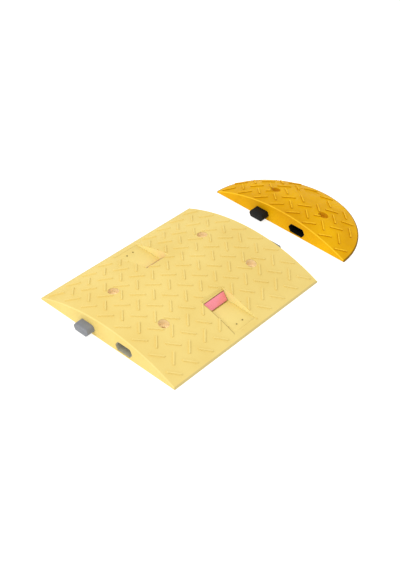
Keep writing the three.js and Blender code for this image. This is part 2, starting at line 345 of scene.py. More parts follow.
def round_edges(piece, wanted, width, segments=3):
    select_edges(piece, wanted)
    bpy.ops.mesh.bevel(offset=width, segments=segments, profile=0.5, affect="EDGES", clamp_overlap=False)
    return done(piece)


def bevelled(piece, width, segments=3, angle=30):
    """Rounds every edge sharper than an angle."""
    return apply_modifier(
        piece,
        "BEVEL",
        width=width,
        segments=segments,
        limit_method="ANGLE",
        angle_limit=math.radians(angle),
        use_clamp_overlap=True,
    )


def smooth(piece, angle=32):
    choose(piece)
    bpy.ops.object.shade_smooth_by_angle(angle=math.radians(angle))
    return piece


def bisected(piece, point, normal):
    """Keeps what lies behind the plane and closes the cut."""
    choose(piece)
    bpy.ops.object.mode_set(mode="EDIT")
    bpy.ops.mesh.select_all(action="SELECT")
    bpy.ops.mesh.bisect(plane_co=point, plane_no=normal, use_fill=True, clear_outer=True)
    return done(piece)


# ---- materials -------------------------------------------------------------------------------------


class Nodes:
    """Short names for the shader nodes of one material."""

    def __init__(self, name):
        self.material = bpy.data.materials.new(name)
        self.material.use_nodes = True
        self.tree = self.material.node_tree
        self.shader = self.tree.nodes["Principled BSDF"]
        coordinates = self.tree.nodes.new("ShaderNodeTexCoord")
        self.place = coordinates.outputs["Object"]

    def link(self, source, target):
        self.tree.links.new(source, target)

    def noise(self, scale, detail=4.0, roughness=0.55, place=None):
        node = self.tree.nodes.new("ShaderNodeTexNoise")
        node.inputs["Scale"].default_value = scale
        node.inputs["Detail"].default_value = detail
        node.inputs["Roughness"].default_value = roughness
        self.link(place or self.place, node.inputs["Vector"])
        return node.outputs["Fac"]

    def cells(self, scale):
        node = self.tree.nodes.new("ShaderNodeTexVoronoi")
        node.inputs["Scale"].default_value = scale
        self.link(self.place, node.inputs["Vector"])
        return node.outputs["Distance"]

    def ramp(self, source, low, high, from_value=0.0, to_value=1.0):
        node = self.tree.nodes.new("ShaderNodeMapRange")
        node.inputs["From Min"].default_value = low
        node.inputs["From Max"].default_value = high
        node.inputs["To Min"].default_value = from_value
        node.inputs["To Max"].default_value = to_value
        self.link(source, node.inputs["Value"])
        return node.outputs["Result"]

    def band(self, source, low, high, soft=0.1 * MM):
        """One between low and high, nothing outside."""
        rise = self.ramp(source, low - soft, low + soft)
        fall = self.ramp(source, high - soft, high + soft, 1.0, 0.0)
        return self.math("MULTIPLY", rise, fall)

    def math(self, operation, a, b=0.0):
        node = self.tree.nodes.new("ShaderNodeMath")
        node.operation = operation
        for value, socket in zip((a, b), node.inputs):
            if isinstance(value, (int, float)):
                socket.default_value = value
            else:
                self.link(value, socket)
        return node.outputs["Value"]

    def square(self, value):
        return self.math("MULTIPLY", value, value)

    def split(self):
        node = self.tree.nodes.new("ShaderNodeSeparateXYZ")
        self.link(self.place, node.inputs["Vector"])
        return node.outputs

    def blend(self, share, first, second):
        """First colour where share is 0, second where it is 1."""
        node = self.tree.nodes.new("ShaderNodeMix")
        node.data_type = "RGBA"
        sockets = [s for s in node.inputs if s.type == "RGBA"]
        for value, socket in zip((first, second), sockets):
            if isinstance(value, tuple):
                socket.default_value = (*value, 1)
            else:
                self.link(value, socket)
        if isinstance(share, (int, float)):
            node.inputs["Factor"].default_value = share
        else:
            self.link(share, node.inputs["Factor"])
        return [s for s in node.outputs if s.type == "RGBA"][0]

    def bump(self, height, distance, strength=1.0, normal=None):
        node = self.tree.nodes.new("ShaderNodeBump")
        node.inputs["Strength"].default_value = strength
        node.inputs["Distance"].default_value = distance
        self.link(height, node.inputs["Height"])
        if normal is not None:
            self.link(normal, node.inputs["Normal"])
        return node.outputs["Normal"]

    def finish(self, color, roughness, normal=None, **constants):
        self.link(color, self.shader.inputs["Base Color"])
        self.link(roughness, self.shader.inputs["Roughness"])
        if normal is not None:
            self.link(normal, self.shader.inputs["Normal"])
        for name, value in constants.items():
            self.shader.inputs[name.replace("_", " ")].default_value = value
        return self.material


def linear(red, green, blue):
    """A screen colour, 0 to 255, as the shader's linear light."""

    def one(value):
        value /= 255
        return value / 12.92 if value <= 0.04045 else ((value + 0.055) / 1.055) ** 2.4

    return (one(red), one(green), one(blue))


# Textures of the coloured rubber, in features per metre.
CLOUDS = 9.0
CRUMBS = 420.0
PITS = 310.0
SCUFFS = 160.0
PIT_SHADE = 0.62  # a pit's colour, as a share of the shade

# Heights over the camber between which a bar's flank takes painted shade, and from which its top is
# lightened by wear and a painted highlight.
FLANK_FOOT = (0.1 * MM, 0.5 * MM)
FLANK_TOP = (1.4 * MM, 2.2 * MM)
WORN_AND_HIGHLIT_TOP = (1.6 * MM, 2.4 * MM)
RIM_WIDTH = (4 * MM, 2 * MM)  # darker strip along the outer edge, from where it starts to where it is full
# depths below the camber over which the painted light inside the holes comes in
IN_HOLE = (-1 * MM, -2 * MM)
EDGE_FADE = 0.4 * MM


def on_camber(n, crown_from):
    """Squared distance from the crest line or the cap's centre, distance from an end face, height."""
    x, y, z = n.split()
    if crown_from is None:
        reach = n.square(y)
        from_face = n.math("SUBTRACT", HALF_LENGTH, n.math("ABSOLUTE", x))
    else:
        from_face = n.math("SUBTRACT", x, crown_from)
        reach = n.math("ADD", n.square(y), n.square(from_face))
    lift = n.math("SUBTRACT", z, CAMBER_AXIS_HEIGHT)
    radius = n.math("SQRT", n.math("ADD", reach, n.square(lift)))
    return reach, from_face, n.math("SUBTRACT", radius, CAMBER_RADIUS)


def in_holes(n, height, hole_place):
    """One below the surface round hole_place and its mirror images, nothing elsewhere."""
    x, y, _ = n.split()
    aside = n.math("SUBTRACT", n.math("ABSOLUTE", x), hole_place[0])
    abreast = n.math("SUBTRACT", n.math("ABSOLUTE", y), hole_place[1])
    spread = n.math("SQRT", n.math("ADD", n.square(aside), n.square(abreast)))
    near = n.ramp(spread, SEAT_RADIUS + 1.5 * MM, SEAT_RADIUS + 2 * MM, 1, 0)
    return n.math("MULTIPLY", near, n.ramp(height, *IN_HOLE))


def moulded_rubber(name, looks, hole_place, crown_from=None):
    """Matt coloured rubber: cloudy colour, crumb grain, pits, tread tops lightened by scuffed wear and a
    painted highlight, painted shade on the bar flanks, a painted highlight along the end faces' edges,
    painted light in the holes, a darker outer edge, and painted light and shade in the windows where the
    looks give them.

    The camber falls away from the crest line, or from x = crown_from on the cap.
    """
    n = Nodes(name)
    main, shade, worn = looks["main"], looks["shade"], looks["worn"]
    color = n.blend(n.ramp(n.noise(CLOUDS, 5.0), 0.35, 0.68), main, shade)
    color = n.blend(n.ramp(n.noise(CRUMBS, 3.0), 0.45, 0.75, 0.0, 0.28), color, shade)
    pits = n.ramp(n.cells(PITS), 0.0, 0.16, 0.35, 0.0)
    color = n.blend(pits, color, tuple(PIT_SHADE * c for c in shade))
    reach, from_face, height = on_camber(n, crown_from)
    # painted shade: the bar flanks are darkened towards the foot colour
    on_flank = n.math("MULTIPLY", n.ramp(height, *FLANK_FOOT), n.ramp(height, *FLANK_TOP, 1, 0))
    color = n.blend(n.math("MULTIPLY", on_flank, looks["dirt"]), color, looks["foot"])
    # tread tops lightened by scuffed wear and a painted highlight
    scuffs = n.ramp(n.noise(SCUFFS, 6.0, 0.7), 0.4, 0.6, 0.35)
    raised = n.math("MULTIPLY", n.ramp(height, *WORN_AND_HIGHLIT_TOP), scuffs)
    wear = n.math("MULTIPLY", raised, looks["wear"])
    color = n.blend(wear, color, worn)
    # painted highlight: a light band on the chamfer along each end face's top edge
    by_face = n.ramp(from_face, FACE_EDGE, FACE_EDGE + EDGE_FADE, 1, 0)
    rubbed = n.math("MULTIPLY", by_face, n.ramp(height, -FACE_EDGE - EDGE_FADE, -FACE_EDGE))
    color = n.blend(n.math("MULTIPLY", rubbed, looks["rubbed"]), color, worn)
    # painted light: walls inside the anchor holes take the hole colour in place of their shade
    color = n.blend(in_holes(n, height, hole_place), color, looks["hole"])
    rim_start, rim_full = (HALF_WIDTH - width for width in RIM_WIDTH)
    at_rim = n.ramp(n.math("SQRT", reach), rim_start, rim_full, 0, looks["rim_share"])
    color = n.blend(at_rim, color, looks["rim"])
    # painted light and painted shade inside and along the windows
    if "window" in looks:
        color = window_colors(n, color, looks, height)
    roughness = n.ramp(n.noise(60.0, 4.0), 0.3, 0.7, 0.5, 0.66)
    roughness = n.math("ADD", roughness, n.math("MULTIPLY", wear, 0.15))
    normal = n.bump(n.noise(900.0, 3.0, 0.6), 0.05 * MM, 0.5)
    normal = n.bump(n.noise(150.0, 5.0, 0.6), 0.12 * MM, 0.45, normal)
    normal = n.bump(pits, -0.1 * MM, 0.6, normal)
    return n.finish(color, roughness, normal, Specular_IOR_Level=looks["gloss"])


def window_colors(n, color, looks, height):
    """Painted light on the walls and floor inside a window, and painted shade as a dark line along one edge
    of each window.
    """
    x, y, _ = n.split()
    side, half = n.math("ABSOLUTE", x), WINDOW_WIDTH / 2
    # painted light: the window walls, and the floor more with depth, are lightened where shade falls
    wall = n.ramp(side, half - 0.25 * MM, half - 0.15 * MM)
    wall = n.math("MULTIPLY", wall, n.ramp(height, -0.3 * MM, -0.9 * MM))
    ground = n.ramp(height, -2 * MM, -20 * MM, 0, looks["floor_share"])
    inside = n.math("MULTIPLY", n.band(side, -half, half + 0.7 * MM), n.math("MAXIMUM", wall, ground))
    color = n.blend(inside, color, looks["window"])
    # painted shade: dark lines on the top surface along the +Y window's top edge and the -Y window's -X edge
    above = n.band(y, WINDOW_TOP - 1.3 * MM, WINDOW_TOP)
    above = n.math("MULTIPLY", n.band(x, -half, half / 2), above)
    beside = n.band(x, -half - 1.6 * MM, -half + 0.1 * MM, EDGE_FADE)
    beside = n.math("MULTIPLY", beside, n.band(y, -WINDOW_MOUTH, -WINDOW_TOP - 6 * MM))
    on_top = n.ramp(height, -0.9 * MM, -0.6 * MM)
    lines = n.math("MULTIPLY", n.math("MAXIMUM", above, beside), on_top)
    return n.blend(n.math("MULTIPLY", lines, looks["line_share"]), color, looks["line"])


def plain_rubber(name, main, shade, gloss_low, gloss_high, gloss=0.45):
    """Smooth rubber of the tongues and liners, faintly mottled, with fine draw marks along X."""
    n = Nodes(name)
    mapping = n.tree.nodes.new("ShaderNodeMapping")
    mapping.inputs["Scale"].default_value = (0.08, 1, 1)
    n.link(n.place, mapping.inputs["Vector"])
    lines = n.noise(700.0, 3.0, 0.6, mapping.outputs["Vector"])
    cloud = n.noise(55.0, 5.0)
    color = n.blend(n.ramp(cloud, 0.35, 0.7), main, shade)
    color = n.blend(n.ramp(lines, 0.5, 0.75, 0.0, 0.3), color, shade)
    roughness = n.ramp(n.noise(120.0, 4.0), 0.3, 0.7, gloss_low, gloss_high)
    normal = n.bump(lines, 0.05 * MM, 0.4)
    normal = n.bump(n.noise(260.0, 4.0), 0.06 * MM, 0.4, normal)
    return n.finish(color, roughness, normal, Specular_IOR_Level=gloss)


def reflector_face(name, main, deep):
    """Clear face of a reflector over rows of small corner prisms."""
    n = Nodes(name)
    cells = n.cells(430.0)
    pattern = n.ramp(cells, 0.0, 0.6)
    color = n.blend(pattern, main, deep)
    color = n.blend(n.ramp(n.noise(40.0), 0.4, 0.7, 0.0, 0.35), color, deep)
    roughness = n.ramp(n.noise(90.0), 0.3, 0.7, 0.16, 0.3)
    normal = n.bump(pattern, 0.15 * MM, 0.35)
    return n.finish(color, roughness, normal, Coat_Weight=0.6, Coat_Roughness=0.08, Specular_IOR_Level=0.5)


def backing_plastic(name, main, shade):
    n = Nodes(name)
    color = n.blend(n.ramp(n.noise(70.0, 5.0), 0.35, 0.7), main, shade)
    roughness = n.ramp(n.noise(200.0), 0.3, 0.7, 0.42, 0.58)
    normal = n.bump(n.noise(500.0), 0.04 * MM, 0.4)
    return n.finish(color, roughness, normal)


def screw_metal(name, main, shade):
    """Dull plated steel, blotched."""
    n = Nodes(name)
    blotch = n.ramp(n.noise(900.0, 5.0, 0.7), 0.42, 0.62)
    color = n.blend(blotch, main, shade)
    roughness = n.ramp(n.noise(1500.0), 0.3, 0.7, 0.32, 0.6)
    normal = n.bump(n.noise(2500.0), 0.03 * MM, 0.4)
    return n.finish(color, roughness, normal, Metallic=0.7)


PALE_LOOKS = {
    "main": linear(226, 202, 123),
    "shade": linear(220, 193, 111),
    # lighter tint for worn tread tops with a painted highlight, and for the painted highlight along the end
    # faces' edges
    "worn": linear(231, 210, 136),
    # painted shade colour for the bar flanks, at a share of nothing on the module
    "foot": linear(216, 190, 108),
    # painted light: paler colour on the walls inside the anchor holes
    "hole": linear(242, 218, 172),
    # painted light: paler walls and floor inside the windows, the floor at floor_share
    "window": linear(241, 227, 152),
    "floor_share": 0.3,
    # painted shade: dark lines along one edge of each window
    "line": linear(128, 104, 60),
    "line_share": 0.6,
    "rim": linear(182, 166, 116),
    "rim_share": 0.6,
    "dirt": 0.0,
    "wear": 0.3,
    "rubbed": 0.5,
    "gloss": 0.12,
}
DEEP_LOOKS = {
    "main": linear(228, 173, 2),
    "shade": linear(206, 147, 0),
    # lighter tint for worn tread tops with a painted highlight, and for the painted highlight along the end
    # faces' edges
    "worn": linear(250, 200, 48),
    # painted shade colour for the bar flanks
    "foot": linear(150, 92, 0),
    # painted light: a set colour on the walls inside the anchor holes, in place of their shade
    "hole": linear(216, 158, 20),
    "rim": linear(104, 74, 8),
    "rim_share": 0.85,
    "dirt": 0.8,
    "wear": 0.6,
    "rubbed": 0.6,
    "gloss": 0.06,
}
PALE_YELLOW = moulded_rubber("pale_yellow_rubber", PALE_LOOKS, hole_middle("module_far_left"))
DEEP_YELLOW = moulded_rubber("deep_yellow_rubber", DEEP_LOOKS, hole_middle("cap_left"), CAP_FACE)

GREY = plain_rubber("grey_rubber", linear(126, 128, 132), linear(116, 118, 122), 0.5, 0.7)
GREY_LINER = plain_rubber("grey_liner_rubber", linear(166, 162, 142), linear(152, 148, 128), 0.55, 0.75)
BLACK = plain_rubber("black_rubber", linear(12, 12, 10), linear(7, 7, 6), 0.45, 0.65, 0.2)
RED = reflector_face("red_reflector", linear(250, 146, 160), linear(238, 130, 146))
BACKING = backing_plastic("black_plastic", linear(176, 122, 108), linear(150, 102, 90))
SCREW = screw_metal("screw_steel", linear(168, 150, 88), linear(138, 120, 66))

# ---- tread -----------------------------------------------------------------------------------------


def tread_bar():
    """One bar: a block with rounded ends in plan, sloping flanks and eased top edges, sunk below z = 0."""
    half = BAR_LENGTH / 2
    bar = cube("tread_bar", (-half, -BAR_WIDTH / 2, -BAR_SINK), (half, BAR_WIDTH / 2, BAR_HEIGHT))
    standing = lambda a, b: abs(a.x - b.x) < HAIR and abs(a.y - b.y) < HAIR
    round_edges(bar, standing, BAR_END_ROUNDING, 3)
    shorter = 1 - BAR_END_DRAFT * BAR_HEIGHT / half
    narrower = 1 - 2 * BAR_SIDE_DRAFT * BAR_HEIGHT / BAR_WIDTH
    shrink = (shorter, narrower, 1)
    resize_vertices(bar, lambda place: place.z > 0, shrink, (0, 0, BAR_HEIGHT))
    on_top = lambda a, b: min(a.z, b.z) > BAR_HEIGHT - HAIR
    return round_edges(bar, on_top, BAR_TOP_EDGE, 2)


def tread_places(first_x, last_x):
    """Two lattices of bars, half a pitch apart, leaning opposite ways."""
    places = []
    rows = math.ceil(HALF_WIDTH / TREAD_PITCH)
    for column in range(math.floor((last_x - first_x) / TREAD_PITCH) + 1):
        x = first_x + column * TREAD_PITCH
        places += [(x, (row + 0.5) * TREAD_PITCH, -1) for row in range(-rows, rows)]
    for column in range(math.floor((last_x - first_x) / TREAD_PITCH - 0.5) + 1):
        x = first_x + (column + 0.5) * TREAD_PITCH
        places += [(x, row * TREAD_PITCH, 1) for row in range(-rows, rows + 1)]
    return places


def laid_bars(name, master, spots):
    """Copies of the bar, each laid on a point with a normal and a lean, joined in one object."""
    bars = []
    for point, normal, leaning in spots:
        plan = Vector((1, leaning, 0)).normalized()
        across = normal.cross(plan).normalized()
        along = across.cross(normal).normalized()
        turn = Matrix((along, across, normal)).transposed().to_4x4()
        bar = copy_of(master, name)
        bar.matrix_world = Matrix.Translation(point) @ turn
        bars.append(bar)
    tread = joined(bars, name)
    return settle(tread)


BAR_SPAN = BAR_LENGTH / 2 / math.sqrt(2)


def module_tread(master):
    spots = []
    last = HALF_LENGTH - BAR_SPAN - TREAD_BORDER
    for x, y, leaning in tread_places(-HALF_LENGTH + TREAD_PITCH / 2, last):
        if abs(y) + BAR_SPAN < HALF_WIDTH - TREAD_BORDER:
            spots.append((Vector((x, y, camber_at(abs(y)))), camber_normal(0, y), leaning))
    return laid_bars("module_tread", master, spots)


def cap_tread(master):
    spots = []
    for x, y, leaning in tread_places(CAP_TREAD_START, HALF_WIDTH):
        ends = [(x + s, y + leaning * s) for s in (-BAR_SPAN, BAR_SPAN)]
        on_top = all(a > 0 and math.hypot(a, b) < HALF_WIDTH - TREAD_BORDER / 2 for a, b in ends)
        on_pad = ((x - PAD_FROM_FACE) / PAD_HALF_X) ** 2 + (y / PAD_HALF_Y) ** 2 <= 1
        if on_top and not on_pad:
            point = Vector((x + CAP_FACE, y, camber_at(math.hypot(x, y))))
            spots.append((point, camber_normal(x, y), leaning))
    return laid_bars("cap_tread", master, spots)


# ---- anchor holes ------------------------------------------------------------------------------------


def hole_cutter(name, centre_x=0.0):
    """A stepped hole, its mouth chamfered square to the surface that falls away from x = centre_x."""
    x, y = hole_middle(name)
    seat_height = OPENINGS[name + "_anchor_hole_seat"][0][2] - OPENING_CLEARANCE
    across = x - centre_x if centre_x else 0.0
    surface = camber_at(math.hypot(across, y))
    shaft = post("hole_cutter", x, y, BOLT_HOLE_RADIUS, -OVER, seat_height + OVER)
    seat = post("seat_cutter", x, y, SEAT_RADIUS, seat_height, surface + ABOVE_TREAD, HOLE_SIDES)
    round_edges(seat, lambda a, b: max(a.z, b.z) < seat_height + HAIR, SEAT_ROUNDING, 3)
    narrow, flare = SEAT_RADIUS - HOLE_MOUTH, 2 * HOLE_MOUTH
    mouth = post("mouth_cutter", 0, 0, narrow, -HOLE_MOUTH, HOLE_MOUTH, HOLE_SIDES, flare)
    lie = camber_normal(across, y).to_track_quat("Z", "Y").to_matrix().to_4x4()
    mouth.matrix_world = Matrix.Translation((x, y, surface)) @ lie
    settle(mouth)
    return combine(seat, [shaft, mouth], "UNION")


# ---- tongues, slots, liners, sockets --------------------------------------------------------------------


def hexagon(lane, grow=0.0):
    """The tongue's outline about its lane as (y, z) points, each side moved out by grow."""
    half = KEY_HEIGHT / 2
    lean = (KEY_WIDTH - KEY_FLAT) / 2
    slant = math.hypot(half, lean)
    corner = KEY_WIDTH / 2 + grow * slant / half
    flat = KEY_FLAT / 2 + grow * (slant - lean) / half
    low, high = KEY_MIDDLE - half - grow, KEY_MIDDLE + half + grow
    outline = [(-flat, low), (flat, low), (corner, KEY_MIDDLE)]
    outline += [(flat, high), (-flat, high), (-corner, KEY_MIDDLE)]
    return [(lane + y, z) for y, z in outline]


def tongue_piece(name, face, lane, key_reach):
    """A hexagonal tongue standing out towards -X, with its T-shaped root behind the face."""
    tip = face - key_reach
    nose = drawn_out(name, hexagon(lane), tip, face + KEY_NECK + OVER)
    round_edges(nose, lengthways, KEY_ROUNDING, 4)
    round_edges(nose, lambda a, b: max(a.x, b.x) < tip + HAIR, KEY_NOSE_ROUNDING, 4)
    reach = KEY_ROOT_WIDTH / 2
    root = cube(
        "root",
        (face + KEY_NECK, lane - reach, KEY_ROOT_FOOT),
        (face + KEY_NECK + KEY_ROOT_LENGTH, lane + reach, KEY_TOP),
    )
    bevelled(root, KEY_ROOT_ROUNDING, 2)
    return smooth(combine(nose, [root], "UNION"))


def slot_cutters(face, lane):
    """The throat round a tongue's neck, and the pocket, open below, in which its root lies."""
    throat = drawn_out("throat_cutter", hexagon(lane, SEAM), face - OVER, face + KEY_NECK + OVER)
    round_edges(throat, lengthways, KEY_ROUNDING + SEAM / 2, 4)
    reach = KEY_ROOT_WIDTH / 2 + SEAM
    root = cube(
        "root_cutter",
        (face + KEY_NECK - SEAM, lane - reach, -OVER),
        (face + KEY_NECK + KEY_ROOT_LENGTH + SEAM, lane + reach, KEY_TOP + SEAM),
    )
    return [throat, root]


def socket_cutter(face, lane):
    grown = SOCKET_PLAY + LINER_WALL + SEAM
    bore = drawn_out("socket_cutter", hexagon(lane, grown), face - OVER, face + LINER_END + SEAM)
    return round_edges(bore, lengthways, SOCKET_ROUNDING, 4)


def liner_piece(name, face, lane):
    """A closed-ended hexagonal sleeve inside a socket, its front rim rounded."""
    outside = hexagon(lane, SOCKET_PLAY + LINER_WALL)
    shell = drawn_out(name, outside, face + LINER_INSET, face + LINER_END)
    round_edges(shell, lengthways, LINER_ROUNDING, 4)
    inside = hexagon(lane, SOCKET_PLAY)
    bore = drawn_out("bore", inside, face + LINER_INSET - OVER, face + LINER_END - LINER_WALL)
    round_edges(bore, lengthways, LINER_BORE_ROUNDING, 4)
    combine(shell, [bore], "DIFFERENCE")
    return smooth(bevelled(shell, LINER_EDGE, 2, 50))


# ---- reflector windows ----------------------------------------------------------------------------------

BACK_LEAN = math.atan2(LENS_FOOT - WINDOW_TOP, camber_at(WINDOW_TOP) - FLOOR_AT_LENS)
BACK_LENGTH = (camber_at(WINDOW_TOP) - FLOOR_AT_LENS) / math.cos(BACK_LEAN)
FLOOR_SLOPE = (FLOOR_AT_LENS - camber_at(WINDOW_MOUTH)) / (WINDOW_MOUTH - LENS_FOOT)
BACKING_HEIGHT = BACK_LENGTH - CARRIER_LIP - CARRIER_BROW - 2 * SEAM
BACKING_DEPTH = BACKING_THICKNESS + LENS_THICKNESS + SEAM


def floor_at(s):
    return FLOOR_AT_LENS - FLOOR_SLOPE * (s - LENS_FOOT)


def on_back(up, deep):
    """A point up the sloping back from its foot, and deep into the body, as (y, z) on the -Y slope."""
    s = LENS_FOOT - math.sin(BACK_LEAN) * up - math.cos(BACK_LEAN) * deep
    z = FLOOR_AT_LENS + math.cos(BACK_LEAN) * up - math.sin(BACK_LEAN) * deep
    return (-s, z)


def window_air():
    """All that is open above a window's floor and in front of its sloping back."""
    above = CREST_HEIGHT + ABOVE_TREAD
    rise = (above - FLOOR_AT_LENS) / math.cos(BACK_LEAN)
    reach = HALF_WIDTH + OVER
    outline = [on_back(0, 0), on_back(rise, 0), (-reach, above), (-reach, floor_at(reach))]
    return drawn_out("window_cutter", outline, -WINDOW_WIDTH / 2, WINDOW_WIDTH / 2)


def carrier_bed_cutter():
    """The room in the body for the reflector's carrier."""
    top = BACK_LENGTH - CARRIER_LIP + SEAM
    front = CARRIER_END + SEAM
    heel = on_back(0, CARRIER_BACK + SEAM)
    outline = [
        (-front, CARRIER_BED),
        (-front, floor_at(CARRIER_END) + OVER),
        (-LENS_FOOT, FLOOR_AT_LENS + OVER),
        on_back(top, -OVER),
        on_back(top, CARRIER_BACK + SEAM),
        heel,
        (heel[0], CARRIER_BED),
    ]
    return drawn_out("carrier_cutter", outline, -WINDOW_WIDTH / 2, WINDOW_WIDTH / 2)


def plate_on_back(name, low, high, front, back, inset):
    outline = [on_back(low, front), on_back(low, back), on_back(high, back), on_back(high, front)]
    return drawn_out(name, outline, -WINDOW_WIDTH / 2 + inset, WINDOW_WIDTH / 2 - inset)


def screw_holes():
    """Room for the two screws of the -Y window, with play round their shanks."""
    low, high = SCREW_HOLE_BOTTOM, FLOOR_AT_LENS + OVER
    middles = [box_middle(f"right_carrier_screw_{number}") for number in (1, 2)]
    return [post("screw_cutter", x, y, SCREW_HOLE_RADIUS, low, high, 24) for x, y, _ in middles]


def carrier_piece(name):
    """Floor and sloping back of a window in one moulding, recessed for the reflector."""
    top = BACK_LENGTH - CARRIER_LIP
    bottom = CARRIER_BED + SEAM
    heel = on_back(0, CARRIER_BACK)
    outline = [
        (-CARRIER_END, bottom),
        (-CARRIER_END, floor_at(CARRIER_END)),
        on_back(0, 0),
        on_back(top, 0),
        on_back(top, CARRIER_BACK),
        heel,
        (heel[0], bottom),
    ]
    carrier = drawn_out(name, outline, -WINDOW_WIDTH / 2 + SEAM, WINDOW_WIDTH / 2 - SEAM)
    bed = plate_on_back("bed_cutter", 0, BACKING_HEIGHT + 2 * SEAM, -OVER, BACKING_DEPTH, -OVER)
    slot = cube(
        "slot_cutter",
        (-WINDOW_WIDTH / 2 - OVER, -LENS_FOOT - LENS_SLOT, FLOOR_AT_LENS - LENS_SLOT_DEPTH),
        (WINDOW_WIDTH / 2 + OVER, OVER - LENS_FOOT, FLOOR_AT_LENS + OVER),
    )
    combine(carrier, [bed, slot] + screw_holes(), "DIFFERENCE")
    return smooth(bevelled(carrier, CARRIER_EDGE, 2))


def lens_piece(name):
    front = BACKING_DEPTH - 2 * SEAM - BACKING_THICKNESS - LENS_THICKNESS
    low = SEAM + LENS_BORDER
    high = low + BACKING_HEIGHT - 2 * LENS_BORDER
    lens = plate_on_back(name, low, high, front, front + LENS_THICKNESS, 2 * SEAM + LENS_BORDER)
    return smooth(bevelled(lens, LENS_EDGE, 3))


def backing_piece(name):
    front = BACKING_DEPTH - SEAM - BACKING_THICKNESS
    backing = plate_on_back(name, SEAM, SEAM + BACKING_HEIGHT, front, front + BACKING_THICKNESS, 2 * SEAM)
    return smooth(bevelled(backing, BACKING_EDGE, 2))


def screw_piece(name, node):
    """A small pan-head screw with a cross recess, standing where its CAD node stands."""
    x, y, _ = box_middle(node)
    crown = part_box(node)[1][2]
    floor_height = crown - SCREW_HEAD_HEIGHT
    head = post(name, x, y, SCREW_HEAD_RADIUS, floor_height, crown, 32)
    round_edges(head, lambda a, b: min(a.z, b.z) > crown - HAIR, SCREW_HEAD_ROUNDING, 4)
    inside_head = floor_height + SCREW_HEAD_HEIGHT / 2
    shank = post("shank", x, y, SCREW_RADIUS, floor_height - SCREW_DEPTH, inside_head, 24)
    bevelled(shank, SCREW_TIP_EDGE, 2)
    combine(head, [shank], "UNION")
    recess = [
        cube("recess", (x - a, y - b, crown - RECESS_DEPTH), (x + a, y + b, crown + OVER))
        for a, b in ((RECESS_REACH, RECESS_HALF_WIDTH), (RECESS_HALF_WIDTH, RECESS_REACH))
    ]
    return smooth(combine(head, recess, "DIFFERENCE"), 40)


# ---- bodies -----------------------------------------------------------------------------------------------

CAMBER_SIDES = 480  # flats round the whole circle of the camber
DOME_SIDES = 112  # and round a full dome
DOME_RINGS = 40


def module_blank():
    """A slice of a large cylinder lying along X, cut off flat below and at both long edges."""
    clear_selection()
    bpy.ops.mesh.primitive_cylinder_add(
        vertices=CAMBER_SIDES,
        radius=CAMBER_RADIUS,
        depth=MODULE_LENGTH,
        location=(0, 0, CAMBER_AXIS_HEIGHT),
        rotation=(0, math.pi / 2, 0),
    )
    blank = settle(bpy.context.object)
    blank.name = "module_rubber"
    bisected(blank, (0, 0, 0), (0, 0, -1))
    bisected(blank, (0, HALF_WIDTH, 0), (0, 1, 0))
    bisected(blank, (0, -HALF_WIDTH, 0), (0, -1, 0))
    outer = lambda place: abs(place.x) > HALF_LENGTH - HAIR or abs(place.y) > HALF_WIDTH - HAIR
    low = lambda place: place.z < EDGE_HEIGHT + HAIR and outer(place)
    flat_end = lambda a, b: abs(a.y - b.y) < HAIR or max(a.z, b.z) < HAIR or abs(a.x - b.x) > HAIR
    round_edges(blank, lambda a, b: low(a) and low(b) and flat_end(a, b), ROUND_EDGE, 3)
    at_end = lambda place: abs(place.x) > HALF_LENGTH - HAIR and place.z > EDGE_HEIGHT - ROUND_EDGE
    arc = lambda a, b: at_end(a) and at_end(b) and a.x * b.x > 0 and abs(a.y - b.y) > HAIR
    return round_edges(blank, arc, FACE_EDGE, 1)


def module_piece(master_bar):
    body = module_blank()
    holes = [hole_cutter(f"module_{end}_{side}") for end in ("near", "far") for side in ("right", "left")]
    ends = slot_cutters(-HALF_LENGTH, LANE) + [socket_cutter(-HALF_LENGTH, -LANE)]
    windows = [window_air(), carrier_bed_cutter()] + screw_holes()
    turned = [half_turned(tool, tool.name + "_far") for tool in ends + windows]
    tread = module_tread(master_bar)
    tread_cuts = [copy_of(tool, "tread_hole") for tool in holes]
    tread_cuts += [copy_of(tool, "tread_window") for tool in (windows[0], turned[len(ends)])]
    combine(tread, tread_cuts, "DIFFERENCE")
    combine(body, holes + ends + windows + turned, "DIFFERENCE")
    combine(body, [tread], "UNION")
    return smooth(body)


